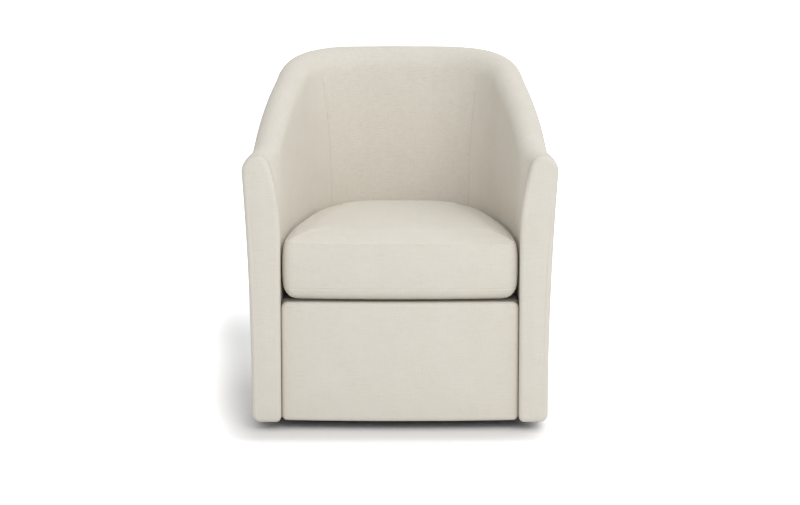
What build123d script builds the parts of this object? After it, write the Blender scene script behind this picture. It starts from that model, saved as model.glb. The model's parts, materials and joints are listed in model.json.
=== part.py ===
from build123d import *
import math
import os

# Upholstered barrel swivel chair in millimetres: +Z up, the front faces -Y,
# the origin is on the floor under the swivel axis.

# Overall sizes
overall_width = 731.0
overall_depth = 765.0
overall_height = 838.0
arm_height = 648.0
floor_gap = 25.0

# Outside of the barrel wall: outline radii, rake, flare of the arms and rolled rim
side_radius = 2443.0
corner_radius = 232.0
back_radius = 1512.0
back_rake = 0.09
arm_flare = 0.036
arm_flare_bow = 5.6
wall_bow = 1.5
flare_fade = 48.0
crest_flat = 131.0
crest_power = 1.24
rim_outer_radius = 34.5
rim_inner_radius = 30.0
rim_back_radius = 80.0
wall_sections = 21
section_crowding = 1.35

# Inside of the barrel wall
arm_width = 67.8
back_width = 95.0
inner_side_radius = 2000.0
inner_corner_radius = 175.0
inner_back_radius = 1300.0
arm_upright_height = 463.0
back_upright_height = 440.0

# Upholstery layers and seams
cover_thickness = 6.0
frame_cavity = 30.0
front_pad_depth = 40.0
front_edge_radius = 14.0
arm_foot_radius = 16.0
seam_gap = 0.4
soft_gap = 0.3
cover_seam_x_low = 172.0
cover_seam_z_low = 452.0
cover_seam_x_high = 195.0
cover_seam_z_high = 780.0

# Front apron
apron_height = 306.0
apron_setback = 24.0
apron_bow = 12.0
apron_side_gap = 1.0
apron_corner_radius = 14.0
apron_edge_radius = 11.0

# Seat box of plywood
rib_thickness = 18.0
frame_clearance = 1.4
cut_past = 1.0
bottom_rib_width = 40.0
seat_rib_top = 280.0
seat_rib_width = 67.0
rib_front_width = 55.0
rail_thickness = 20.0
rail_joint_depth = 480.0
panel_thickness = 15.0
block_leg = 55.0
block_height = 62.0
dust_cover_thickness = 1.2
dust_hole_clearance = 14.5

# Uprights and top rails
post_width = 44.0
top_rail_height = 45.0
frame_gap = 1.0
arm_post_place = 64.0
wing_post_place = 300.0
corner_post_past_side = 56.0
back_post_from_middle = 78.0

# Webbing and seat deck
strap_width = 60.0
strap_thickness = 2.0
long_strap_spacing = 110.0
cross_strap_spacing = 110.0
long_strap_count = 4
cross_strap_count = 4
first_cross_strap = 150.0
strap_end_inset = 45.0
deck_thickness = 22.5

# Loose seat cushion
cushion_height = 166.0
cushion_front_bow = 13.0
cushion_setback = 18.0
cushion_gap = 3.0
cushion_seam_low = 30.0
cushion_seam_high = 134.0
cushion_corner_radius = 26.0
cushion_belly_inset = 42.0
cushion_belly_height = 48.0
cushion_shoulder_inset = 5.5
cushion_crown_scale = 37.4
cushion_crown_power = 0.744
cushion_crown_insets = (0.0, 10.0, 25.0, 50.0, 100.0, 150.0)
cushion_seam_draw = 1.5
cushion_cover_thickness = 3.0

# Swivel base
glide_radius = 16.0
glide_height = 6.0
glide_stem_radius = 4.0
glide_stem_length = 9.0
glide_count = 6
ring_side_inset = 119.3
ring_tube = 25.0
ring_wall = 2.0
cross_bar_width = 40.0
cross_bar_height = 12.0
plate_size = 180.0
plate_thickness = 3.0
plate_corner_radius = 12.0
bolt_inset = 16.0
bolt_radius = 4.0
bolt_head_across = 13.0
bolt_head_height = 5.3
nut_height = 6.5
bolt_clearance = 0.2
ball_radius = 5.0
ball_count = 12
ball_circle_radius = 62.0
ball_clearance = 0.05
race_width = 22.0
race_gap = 3.0
race_floor = 3.0
cage_thickness = 1.6
cage_clearance = 0.1
pin_radius = 8.0
pin_head_radius = 15.0
pin_head_height = 8.0
pin_running_clearance = 0.08
pin_end_length = 3.0
pivot_nut_across = 24.0
pivot_nut_height = 12.0
washer_radius = 17.0
washer_thickness = 3.0
bush_wall = 3.0
bush_flange_radius = 17.0
bush_flange_thickness = 2.0
board_size = 400.0
board_thickness = 18.0
bearer_size = 40.0
bearer_spacing = 260.0
tee_flange_radius = 11.0
tee_flange_thickness = 1.5
tee_barrel_radius = 5.0

# Heights of the stacked pieces, from the floor up
front_y = -overall_depth / 2
ring_top = glide_height + ring_tube
cross_top = ring_top + cross_bar_height
lower_plate_top = cross_top + plate_thickness
race_height = ball_radius + 2 * ball_clearance - race_gap / 2 + race_floor
lower_race_top = lower_plate_top + race_height
ball_z = lower_race_top + race_gap / 2
upper_race_bottom = ball_z + race_gap / 2
upper_plate_bottom = upper_race_bottom + race_height
board_bottom = upper_plate_bottom + plate_thickness
board_top = board_bottom + board_thickness
rib_bottom = floor_gap + dust_cover_thickness + 2 * soft_gap
rib_top = rib_bottom + rib_thickness
seat_rib_bottom = seat_rib_top - rib_thickness
strap_top = seat_rib_top + 2 * strap_thickness
deck_bottom = strap_top + soft_gap
deck_top = deck_bottom + deck_thickness
pad_bottom = deck_bottom
frame_inset = cover_thickness + arm_flare_bow + frame_clearance
cushion_bottom = deck_top + soft_gap


def rim_of_wall(flare, bow, crest):
    """End of the outside face and centre of the rolled rim, as (out, up) from the base outline."""
    slope = flare + 4 * bow / (crest - floor_gap)
    turn = math.hypot(1, slope)
    rim_up = crest - rim_outer_radius
    top_up = rim_up - rim_outer_radius * slope / turn
    top_out = flare * (top_up - floor_gap)
    rim_out = top_out - rim_outer_radius / turn
    return (top_out, top_up), (rim_out, rim_up)


def rim_reach(flare, bow, crest):
    """How far the rolled rim stands out past the base outline."""
    return rim_of_wall(flare, bow, crest)[1][0] + rim_outer_radius


class Outline:
    """Half of a barrel outline: side, corner and back arcs, each tangent to the next."""

    def __init__(self, half_width, depth, side_r, corner_r, back_r):
        side_c = Vector(half_width - side_r, front_y)
        back_c = Vector(0, front_y + depth - back_r)
        self.arcs = []
        # The corner's centre lies on a circle about each of the other two centres.
        reach_side = side_r - corner_r
        reach_back = back_r - corner_r
        between = back_c - side_c
        along = (reach_side**2 - reach_back**2 + between.length**2) / (2 * between.length)
        across = math.sqrt(reach_side**2 - along**2)
        unit = between.normalized()
        corner_c = side_c + unit * along + Vector(-unit.Y, unit.X) * across
        turn_side = math.atan2(corner_c.Y - side_c.Y, corner_c.X - side_c.X)
        turn_back = math.atan2(corner_c.Y - back_c.Y, corner_c.X - back_c.X)
        self.arcs.append((side_c, side_r, 0.0, turn_side))
        self.arcs.append((corner_c, corner_r, turn_side, turn_back))
        self.arcs.append((back_c, back_r, turn_back, math.pi / 2))
        self.side_length = side_r * turn_side
        self.length = sum(r * (end - start) for _, r, start, end in self.arcs)

    def at(self, distance):
        """Point and outward direction at a distance along the half outline from its front."""
        for centre, radius, start, end in self.arcs:
            span = radius * (end - start)
            if distance <= span or end == math.pi / 2:
                angle = start + distance / radius
                out = Vector(math.cos(angle), math.sin(angle))
                return centre + out * radius, out
            distance -= span

    def distance_in(self, point, out):
        """Distance from a point outside, against the outward direction, to this outline."""
        for centre, radius, start, end in self.arcs:
            offset = point - centre
            along = offset.dot(out)
            inside = along**2 - offset.length**2 + radius**2
            if inside < 0:
                continue
            step = along - math.sqrt(inside)
            hit = offset - out * step
            angle = math.atan2(hit.Y, hit.X)
            if angle <= end + 1e-9:
                return step

    def face(self, inset, front, bow=0.0):
        """Closed D-shaped face, set in from the outline, with its front edge at a depth."""
        edges = []
        ends = []
        for side in (1, -1):
            for index, (centre, radius, start, end) in enumerate(self.arcs[:2]):
                r = radius - inset
                first = math.asin(front / r) if index == 0 else start
                points = []
                for angle in (first, (first + end) / 2, end):
                    x = centre.X + r * math.cos(angle)
                    points.append((side * x, centre.Y + r * math.sin(angle)))
                edges.append(ThreePointArc(*points))
                if index == 0:
                    ends.append(points[0])
                else:
                    corner_end = points[2]
            if side == 1:
                back_start = corner_end
        back_top = self.arcs[2][0].Y + self.arcs[2][1] - inset
        edges.append(ThreePointArc(back_start, (0, back_top), corner_end))
        if bow:
            edges.append(ThreePointArc(ends[0], (0, front_y + front - bow), ends[1]))
        else:
            edges.append(Line(ends[0], ends[1]))
        return Face(Wire(edges))


def solid_between(face, bottom, top):
    return extrude(Pos(0, 0, bottom) * face, amount=top - bottom, dir=(0, 0, 1))


half_width = overall_width / 2 - rim_reach(arm_flare, arm_flare_bow, arm_height)
base_depth = overall_depth - rim_reach(back_rake, wall_bow, overall_height)
seat_width = 2 * (half_width - arm_width)
seat_depth = base_depth - back_width
ring_mid_radius = half_width - ring_side_inset
dust_hole_radius = ring_mid_radius + ring_tube / 2 + dust_hole_clearance
outer = Outline(half_width, base_depth, side_radius, corner_radius, back_radius)
inner = Outline(seat_width / 2, seat_depth, inner_side_radius, inner_corner_radius, inner_back_radius)


class Station:
    """Upright section plane of the barrel wall; places past the back's middle are on the left."""

    def __init__(self, place):
        mirrored = place > outer.length
        distance = 2 * outer.length - place if mirrored else place
        point, out = outer.at(distance)
        self.flip = -1 if mirrored else 1
        self.point = point
        self.out = out
        past_front = max(0.0, distance - front_pad_depth)
        fade = math.exp(-((past_front / flare_fade) ** 2))
        self.flare = back_rake * out.Y + (arm_flare - back_rake * out.Y) * fade
        self.bow = wall_bow + (arm_flare_bow - wall_bow) * fade
        climb = min(1.0, past_front / (outer.length - front_pad_depth - crest_flat))
        share = math.sin(math.pi / 2 * climb**crest_power)
        self.crest = arm_height + (overall_height - arm_height) * share
        self.upright = arm_upright_height + (back_upright_height - arm_upright_height) * out.Y
        self.shoulder = rim_inner_radius + (rim_back_radius - rim_inner_radius) * out.Y
        self.thickness = inner.distance_in(point, out)
        self.top, self.rim = rim_of_wall(self.flare, self.bow, self.crest)

    def chord(self, z):
        return self.flare * (z - floor_gap)

    def cover_inside(self, z):
        return self.chord(z) - cover_thickness - self.bow

    def pad_back(self, z):
        return self.cover_inside(z) - frame_cavity

    def world(self, spot):
        along, z = spot
        place = self.point + self.out * along
        return Vector(self.flip * place.X, place.Y, z)

    def wire(self, start, *steps):
        """Closed wire through (out, up) spots; a step of two spots is an arc by its middle."""
        edges = []
        last = self.world(start)
        for step in steps:
            spots = [self.world(spot) for spot in step]
            if len(spots) == 2:
                edges.append(ThreePointArc(last, spots[0], spots[1]))
            else:
                edges.append(Line(last, spots[0]))
            last = spots[-1]
        edges.append(Line(last, self.world(start)))
        return Wire(edges)

    def rolled_face(self):
        """Steps up the inside face, over the rim and down to the end of the outside face."""
        vertical_out = -self.thickness
        rise = self.crest - self.upright
        spread = self.rim[0] - vertical_out
        lean = 2 * math.atan((spread - self.shoulder) / (rise - self.shoulder))
        sweep = (rise - self.shoulder) / math.sin(lean) + self.shoulder

        def on_sweep(angle):
            return (vertical_out + sweep * (1 - math.cos(angle)), self.upright + sweep * math.sin(angle))

        def on_arc(centre, radius, angle):
            return (centre[0] + radius * math.cos(angle), centre[1] + radius * math.sin(angle))

        shoulder = (self.rim[0], self.crest - self.shoulder)
        shoulder_start = math.pi - lean
        down = math.atan2(self.top[1] - self.rim[1], self.top[0] - self.rim[0])
        quarter = math.pi / 2
        return [
            [(vertical_out, self.upright)],
            [on_sweep(lean / 2), on_sweep(lean)],
            [
                on_arc(shoulder, self.shoulder, (shoulder_start + quarter) / 2),
                (self.rim[0], self.crest),
            ],
            [on_arc(self.rim, rim_outer_radius, (quarter + down) / 2), self.top],
        ]

    def outside_middle(self, low, high):
        """Middle spot of the outside face, which is a little hollow."""
        z = (low + high) / 2
        return (self.chord(z) - self.bow, z)

    def inside_pad(self):
        ledge = self.top[1]
        return self.wire(
            (-self.thickness, pad_bottom),
            *self.rolled_face(),
            [(self.pad_back(ledge), ledge)],
            [(self.pad_back(pad_bottom), pad_bottom)],
        )

    def outside_cover(self):
        top = self.top[1] - seam_gap
        return self.wire(
            (0.0, floor_gap),
            [self.outside_middle(floor_gap, top), (self.chord(top), top)],
            [(self.cover_inside(top), top)],
            [(self.cover_inside(floor_gap), floor_gap)],
        )

    def frame_member(self, low, high):
        spots = []
        depth = frame_cavity - 2 * seam_gap
        for z, inset in ((low, frame_gap), (high, frame_gap), (high, depth), (low, depth)):
            spots.append((self.cover_inside(z) - inset, z))
        return self.wire(spots[0], *[[spot] for spot in spots[1:]])

    def rail_top(self):
        return self.top[1] - seam_gap

    def rail_bottom(self):
        return self.rail_top() - top_rail_height


# Places of the section planes along the wall, closer at the arms, from the right arm round to the left
wall_start = front_pad_depth + soft_gap + arm_width * front_pad_depth / side_radius
wall_length = outer.length - wall_start
section_shares = [(index / (wall_sections - 1)) ** section_crowding for index in range(wall_sections - 1)]
right_places = [wall_start + wall_length * share for share in section_shares]
places = right_places + [outer.length] + [2 * outer.length - place for place in reversed(right_places)]
stations = [Station(place) for place in places]

parts = {}


def cut_at_seams(hoop, name_back, name_side):
    """Cuts a hoop of the wall in three at the two cover seams, which lean out as they rise."""
    lean = (cover_seam_x_high - cover_seam_x_low) / (cover_seam_z_high - cover_seam_z_low)
    foot = cover_seam_x_low - lean * cover_seam_z_low
    head = foot + lean * overall_height
    half = seam_gap / 2
    for side in (1, -1):
        blade = Face(
            Wire.make_polygon(
                [
                    (side * foot - half, 0, 0),
                    (side * foot + half, 0, 0),
                    (side * head + half, 0, overall_height),
                    (side * head - half, 0, overall_height),
                ]
            )
        )
        hoop = hoop - extrude(blade, amount=overall_depth, dir=(0, 1, 0))
    pieces = hoop.solids().sort_by(Axis.X)
    parts[name_side + "_left"], parts[name_back], parts[name_side + "_right"] = pieces


def add_pair(name, right):
    """A piece on the right and its mirror image on the left."""
    parts[name + "_right"] = right
    parts[name + "_left"] = mirror(right, about=Plane.YZ)


def depth_slab(start, end):
    """Wide block between two depths from the chair's front, to cut pieces with."""
    middle = front_y + (start + end) / 2
    return Pos(0, middle, overall_height / 2) * Box(overall_width, end - start, overall_height)


def hex_prism(across, bottom, height):
    return Pos(0, 0, bottom) * extrude(
        RegularPolygon(across / 2, 6, major_radius=False), amount=height
    )


def rod(radius, bottom, top):
    return Pos(0, 0, (bottom + top) / 2) * Cylinder(radius, top - bottom)


# Covers and pads of the barrel wall
cut_at_seams(Solid.make_loft([s.inside_pad() for s in stations]), "inside_back", "inside_wing")
cut_at_seams(Solid.make_loft([s.outside_cover() for s in stations]), "outside_back", "outside_wing")


def arm_front():
    station = Station(0.0)
    low = station.top[1]
    section = station.wire(
        (-station.thickness, floor_gap),
        *station.rolled_face(),
        [station.outside_middle(floor_gap, low), (0.0, floor_gap)],
    )
    pad = extrude(Face(section), amount=front_pad_depth - soft_gap, dir=(0, 1, 0))
    feet = pad.edges().filter_by(Axis.Y).group_by(Axis.Z)[0]
    pad = fillet(feet, arm_foot_radius)
    rim = pad.faces().sort_by(Axis.Y)[0].edges()
    return fillet(rim, front_edge_radius)


add_pair("arm_front", arm_front())


def front_apron():
    half = seat_width / 2 - apron_side_gap
    back = front_y + front_pad_depth - soft_gap
    side = front_y + apron_setback
    plan = Face(
        Wire(
            [
                Line((-half, back), (half, back)),
                Line((half, back), (half, side)),
                ThreePointArc((half, side), (0, side - apron_bow), (-half, side)),
                Line((-half, side), (-half, back)),
            ]
        )
    )
    pad = solid_between(plan, floor_gap, apron_height)
    pad = fillet(pad.edges().filter_by(Axis.Y), apron_corner_radius)
    front = pad.faces().sort_by(lambda face: face.center().Y)[0]
    return fillet(front.edges(), apron_edge_radius)


parts["front_apron"] = front_apron()

# Loose cushion: bulging band between two seams, rounded below and crowned above


def cushion_shape(skin):
    """Cushion set in by a skin: round belly, bulging band drawn in at its two seams, and crown."""
    bottom = cushion_bottom + skin
    low = cushion_bottom + cushion_seam_low
    high = cushion_bottom + cushion_seam_high
    top = cushion_bottom + cushion_height - skin
    seam_turn = math.acos(1 - cushion_seam_low / cushion_belly_height)
    low_inset = cushion_belly_inset * (1 - math.sin(seam_turn))

    def level(z, inset):
        plan = inner.face(cushion_gap + skin + inset, cushion_setback + skin + inset, cushion_front_bow)
        corners = plan.vertices().sort_by(Axis.Y)[:2]
        return (Pos(0, 0, z) * plan.fillet_2d(cushion_corner_radius, corners)).outer_wire()

    def crown(inset):
        return 1 - math.exp(-((inset / cushion_crown_scale) ** cushion_crown_power))

    under = []
    for share in (0, 1 / 3, 2 / 3, 1):
        turn = share * seam_turn
        rise = (1 - math.cos(turn)) / (1 - math.cos(seam_turn))
        inset = cushion_belly_inset * (1 - math.sin(turn))
        under.append(level(bottom + (low - bottom) * rise, inset + cushion_seam_draw))
    band = []
    for share in (-1, -0.5, 0, 0.5, 1):
        end_inset = low_inset if share < 0 else cushion_shoulder_inset
        inset = (end_inset + cushion_seam_draw) * abs(share) ** 3
        band.append(level((low + high) / 2 + share * (high - low) / 2, inset))
    over = []
    for inset in cushion_crown_insets:
        rise = crown(inset) / crown(cushion_crown_insets[-1])
        seam_inset = cushion_shoulder_inset + cushion_seam_draw
        over.append(level(high + (top - high) * rise, seam_inset + inset))
    return Solid.make_loft(under) + Solid.make_loft(band) + Solid.make_loft(over)


parts["cushion_core"] = cushion_shape(cushion_cover_thickness + soft_gap)
parts["cushion_cover"] = cushion_shape(0) - cushion_shape(cushion_cover_thickness)

# Seat deck on crossed webbing straps
parts["seat_deck"] = solid_between(inner.face(2 * soft_gap, front_pad_depth), deck_bottom, deck_top)


def straps(count, along_y):
    zone = outer.face(frame_inset + strap_end_inset, front_pad_depth + panel_thickness)
    bottom = seat_rib_top if along_y else seat_rib_top + strap_thickness
    region = solid_between(zone, bottom, bottom + strap_thickness)
    bands = []
    for index in range(count):
        if along_y:
            x = (index - (count - 1) / 2) * long_strap_spacing
            band = Pos(x, 0, bottom) * Box(strap_width, 2 * overall_depth, overall_depth)
        else:
            y = front_y + first_cross_strap + index * cross_strap_spacing
            band = Pos(0, y, bottom) * Box(2 * overall_width, strap_width, overall_depth)
        bands.append((region & band).solid())
    return Compound(bands)


parts["seat_webbing_long"] = straps(long_strap_count, True)
parts["seat_webbing_cross"] = straps(cross_strap_count, False)

# Plywood seat box
rail_inside = frame_inset + rail_thickness
box_zone = outer.face(rail_inside + soft_gap, front_pad_depth)
rib_front = front_pad_depth + rib_front_width

parts["bottom_rib"] = solid_between(
    outer.face(frame_inset, front_pad_depth)
    - outer.face(frame_inset + bottom_rib_width, rib_front)
    - Circle(dust_hole_radius),
    rib_bottom,
    rib_top,
)

seat_rib_depth = base_depth + back_rake * (seat_rib_bottom - floor_gap)
seat_rib_outline = Outline(half_width, seat_rib_depth, side_radius, corner_radius, back_radius)
parts["seat_rib"] = solid_between(
    seat_rib_outline.face(frame_inset, front_pad_depth)
    - outer.face(frame_inset + seat_rib_width, rib_front),
    seat_rib_bottom,
    seat_rib_top,
)

rail_band = solid_between(
    outer.face(frame_inset, front_pad_depth) - outer.face(rail_inside, front_pad_depth - cut_past),
    rib_top,
    seat_rib_bottom,
)
side_rails = (rail_band & depth_slab(0, rail_joint_depth)).solids().sort_by(Axis.X)
parts["side_rail_left"], parts["side_rail_right"] = side_rails
parts["rear_rail"] = rail_band & depth_slab(rail_joint_depth + soft_gap, overall_depth)

box_room = solid_between(box_zone, rib_top, seat_rib_bottom)
panel_back = front_pad_depth + panel_thickness
parts["front_panel"] = box_room & depth_slab(front_pad_depth, panel_back)


def corner_blocks():
    inside = half_width - rail_inside
    start = front_y + panel_back + soft_gap
    triangle = Face(
        Wire.make_polygon([(inside, start), (inside - block_leg, start), (inside, start + block_leg)])
    )
    blocks = []
    for bottom in (rib_top, seat_rib_bottom - block_height):
        block = solid_between(triangle, bottom, bottom + block_height) & box_room
        blocks += [block.solid(), mirror(block, about=Plane.YZ).solid()]
    return Compound(blocks)


parts["corner_blocks"] = corner_blocks()

parts["dust_cover"] = solid_between(
    outer.face(frame_inset, front_pad_depth) - Circle(dust_hole_radius),
    floor_gap + soft_gap,
    floor_gap + soft_gap + dust_cover_thickness,
)

# Uprights in the wall's hollow, from the seat rib to the sloping top rails
cut_at_seams(
    Solid.make_loft([s.frame_member(s.rail_bottom(), s.rail_top()) for s in stations]),
    "back_top_rail",
    "arm_rail",
)


def post(place):
    bent = [Station(place + share * post_width) for share in (-0.5, 0, 0.5)]
    return Solid.make_loft([s.frame_member(seat_rib_top, s.rail_bottom() - seam_gap) for s in bent])


add_pair("arm_post", post(arm_post_place))
add_pair("wing_post", post(wing_post_place))
add_pair("corner_post", post(outer.side_length + corner_post_past_side))
add_pair("back_post", post(outer.length - back_post_from_middle))

# Swivel base: glides, ring and cross
glide_circle = PolarLocations(ring_mid_radius, glide_count)


def floor_glide():
    chamfered = rod(glide_radius, 0, glide_height)
    chamfered = chamfer(chamfered.edges().group_by(Axis.Z)[0], glide_height / 4)
    return chamfered + rod(glide_stem_radius, glide_height, glide_height + glide_stem_length)


parts["floor_glides"] = Compound([(spot * floor_glide()).solid() for spot in glide_circle])

tube = Rectangle(ring_tube, ring_tube) - Rectangle(ring_tube - 2 * ring_wall, ring_tube - 2 * ring_wall)
tube_section = Plane.XZ * (Pos(ring_mid_radius, glide_height + ring_tube / 2) * tube)
stem_hole = rod(glide_stem_radius + bolt_clearance, 0, glide_height + ring_tube / 2)
parts["base_ring"] = revolve(tube_section, Axis.Z) - [spot * stem_hole for spot in glide_circle]

bolt_half = plate_size / 2 - bolt_inset
bolt_spots = GridLocations(2 * bolt_half, 2 * bolt_half, 2, 2)
bolt_hole = rod(bolt_radius + bolt_clearance, 0, overall_height)
pin_hole = rod(pin_radius + pin_running_clearance, 0, overall_height)


def cross_bars():
    length = 2 * ring_mid_radius + ring_tube / 2
    bar = Pos(0, 0, ring_top + cross_bar_height / 2) * Box(length, cross_bar_width, cross_bar_height)
    cross = Rot(0, 0, 45) * bar + Rot(0, 0, -45) * bar
    return cross - pin_hole - [spot * bolt_hole for spot in bolt_spots]


parts["base_cross"] = cross_bars()


def bearing_plate(plate_bottom, race_bottom):
    """Square plate with a raised ring, grooved all round for the balls."""
    corners = RectangleRounded(plate_size, plate_size, plate_corner_radius)
    plate = solid_between(corners, plate_bottom, plate_bottom + plate_thickness)
    outside = ball_circle_radius + race_width / 2
    ring = rod(outside, race_bottom, race_bottom + race_height)
    ring -= rod(outside - race_width, race_bottom, race_bottom + race_height)
    groove = Pos(0, 0, ball_z) * Torus(ball_circle_radius, ball_radius + ball_clearance)
    return plate + ring - groove - [spot * bolt_hole for spot in bolt_spots]


parts["lower_bearing_plate"] = bearing_plate(cross_top, lower_plate_top) - pin_hole
bush_radius = pin_radius + pin_running_clearance + bush_wall
bush_hole = rod(bush_radius + bolt_clearance, 0, overall_height)
parts["upper_bearing_plate"] = bearing_plate(upper_plate_bottom, upper_race_bottom) - bush_hole

# Ball bearing
ball_spots = PolarLocations(ball_circle_radius, ball_count)
ball = Pos(0, 0, ball_z) * Solid.make_sphere(ball_radius)
parts["bearing_balls"] = Compound([spot * ball for spot in ball_spots])


def ball_cage():
    low = ball_z - cage_thickness / 2
    high = ball_z + cage_thickness / 2
    band = rod(ball_circle_radius + race_width / 2, low, high)
    band -= rod(ball_circle_radius - race_width / 2, low, high)
    return band - [spot * rod(ball_radius + cage_clearance, low, high) for spot in ball_spots]


parts["ball_cage"] = ball_cage()

# Pivot pin with its washer and nut, in a flanged bush
bush_top = board_top + bush_flange_thickness
washer_bottom = bush_top + soft_gap
pivot_nut_bottom = washer_bottom + washer_thickness
pin_top = pivot_nut_bottom + pivot_nut_height + pin_end_length
parts["pivot_pin"] = rod(pin_head_radius, ring_top - pin_head_height, ring_top) + rod(
    pin_radius, ring_top, pin_top
)
parts["pivot_washer"] = rod(washer_radius, washer_bottom, pivot_nut_bottom) - pin_hole
parts["pivot_nut"] = hex_prism(pivot_nut_across, pivot_nut_bottom, pivot_nut_height) - pin_hole
parts["pivot_bush"] = (
    rod(bush_radius, upper_plate_bottom, board_top)
    + rod(bush_flange_radius, board_top, bush_top)
    - pin_hole
)

# Bolts of the two bearing plates
base_bolt = hex_prism(bolt_head_across, lower_plate_top, bolt_head_height) + rod(
    bolt_radius, ring_top - nut_height, lower_plate_top
)
base_nut = hex_prism(bolt_head_across, ring_top - nut_height, nut_height) - bolt_hole
board_bolt = hex_prism(
    bolt_head_across, upper_plate_bottom - bolt_head_height, bolt_head_height
) + rod(bolt_radius, upper_plate_bottom, board_top + tee_flange_thickness)
tee_nut = (
    rod(tee_flange_radius, board_top, board_top + tee_flange_thickness)
    + rod(tee_barrel_radius, board_top - 2 * board_thickness / 3, board_top)
    - bolt_hole
)
for name, piece in (
    ("base_bolts", base_bolt),
    ("base_nuts", base_nut),
    ("board_bolts", board_bolt),
    ("tee_nuts", tee_nut),
):
    parts[name] = Compound([(spot * piece).solid() for spot in bolt_spots])

# Swivel board and the bearers that carry the seat box
barrel_hole = rod(tee_barrel_radius + bolt_clearance, board_bottom, board_top)
parts["swivel_board"] = (
    solid_between(RectangleRounded(board_size, board_size, plate_corner_radius), board_bottom, board_top)
    - bush_hole
    - [spot * barrel_hole for spot in bolt_spots]
)
bearer_room = solid_between(box_zone, board_top, board_top + bearer_size)
for name, side in (("front_bearer", -1), ("rear_bearer", 1)):
    middle = overall_depth / 2 + side * bearer_spacing / 2
    parts[name] = bearer_room & depth_slab(middle - bearer_size / 2, middle + bearer_size / 2)

os.makedirs("parts", exist_ok=True)
for name, piece in parts.items():
    export_step(piece, "parts/" + name + ".step")
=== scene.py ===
import json
import math

import bmesh
import bpy
import numpy as np
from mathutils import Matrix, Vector

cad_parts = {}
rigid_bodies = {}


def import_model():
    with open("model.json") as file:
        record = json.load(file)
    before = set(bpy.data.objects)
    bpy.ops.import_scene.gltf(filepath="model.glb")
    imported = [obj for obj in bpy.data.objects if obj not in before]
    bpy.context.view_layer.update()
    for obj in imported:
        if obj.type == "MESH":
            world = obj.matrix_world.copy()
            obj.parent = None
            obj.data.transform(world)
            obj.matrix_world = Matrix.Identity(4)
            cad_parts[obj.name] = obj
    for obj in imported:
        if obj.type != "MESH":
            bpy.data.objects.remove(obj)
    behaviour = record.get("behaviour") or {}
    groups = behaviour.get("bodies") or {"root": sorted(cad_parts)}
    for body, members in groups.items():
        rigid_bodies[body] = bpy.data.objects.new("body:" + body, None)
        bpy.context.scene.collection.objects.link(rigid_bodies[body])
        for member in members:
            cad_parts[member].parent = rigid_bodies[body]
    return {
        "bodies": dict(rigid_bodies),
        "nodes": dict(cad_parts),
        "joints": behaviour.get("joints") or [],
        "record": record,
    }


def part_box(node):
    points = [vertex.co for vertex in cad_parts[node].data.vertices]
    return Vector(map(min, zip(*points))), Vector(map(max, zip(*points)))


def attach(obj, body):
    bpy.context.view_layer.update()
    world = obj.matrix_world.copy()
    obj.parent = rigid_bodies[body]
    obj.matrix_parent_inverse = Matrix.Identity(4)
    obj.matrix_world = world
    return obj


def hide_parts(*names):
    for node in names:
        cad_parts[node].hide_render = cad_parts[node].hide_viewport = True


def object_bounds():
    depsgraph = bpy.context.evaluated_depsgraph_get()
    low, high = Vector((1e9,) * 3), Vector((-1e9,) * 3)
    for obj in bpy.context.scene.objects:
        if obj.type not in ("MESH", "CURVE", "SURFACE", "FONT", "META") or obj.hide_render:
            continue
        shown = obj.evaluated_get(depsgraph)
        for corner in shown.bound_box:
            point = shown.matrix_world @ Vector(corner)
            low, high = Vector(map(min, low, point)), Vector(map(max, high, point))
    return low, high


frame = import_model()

cad_low, cad_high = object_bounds()

# Sizes in metres. Overall sizes come from the frame; the wall's radii and slopes shape its sections.
front_y = cad_low.y
overall_width = cad_high.x - cad_low.x
overall_depth = cad_high.y - cad_low.y
overall_height = cad_high.z
arm_low, arm_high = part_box("arm_front_right")
arm_height = arm_high.z
hem_drop = 0.0035
floor_gap = arm_low.z - hem_drop
pad_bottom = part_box("inside_back")[0].z

side_radius = 2.3
corner_radius = 0.232
back_radius = 1.512
back_rake = 0.09
rake_blend = 0.045
rake_samples = 7
arm_flare = 0.033
arm_flare_bow = 0.0056
wall_bow = 0.0015
flare_fade = 0.048
crest_flat = 0.131
crest_power = 1.24
rim_outer_radius = 0.0345
rim_inner_radius = 0.03
rim_back_radius = 0.08
arm_width = 0.0678
back_width = 0.095
inner_side_radius = 2.0
inner_corner_radius = 0.175
inner_back_radius = 1.3
arm_upright_height = 0.463
back_upright_height = 0.44
front_pad_depth = 0.04
cover_seam_low = (0.172, 0.452)
cover_seam_high = (0.195, 0.78)
cover_seam_bow = 0.007
seam_search_steps = 40

pad_shell = 0.014
cover_shell = 0.006
seam_gap = 0.0004
seam_radius = 0.0017
seam_fade = (0.765, 0.805)
flush_radius = 0.0008
edge_steps = np.array([0.0, 0.0002, 0.0007, 0.0014, 0.0026, 0.0045])
wave_height = 0.0003
weld_distance = 2e-6
least_edge = 1e-6


def rim_of_wall(flare, bow, crest):
    """End of the outside face and centre of the rolled rim, as (out, up) from the base outline."""
    slope = flare + 4 * bow / (crest - floor_gap)
    turn = np.hypot(1, slope)
    rim_up = crest - rim_outer_radius
    top_up = rim_up - rim_outer_radius * slope / turn
    top_out = flare * (top_up - floor_gap)
    rim_out = top_out - rim_outer_radius / turn
    return top_out, top_up, rim_out, rim_up


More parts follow.
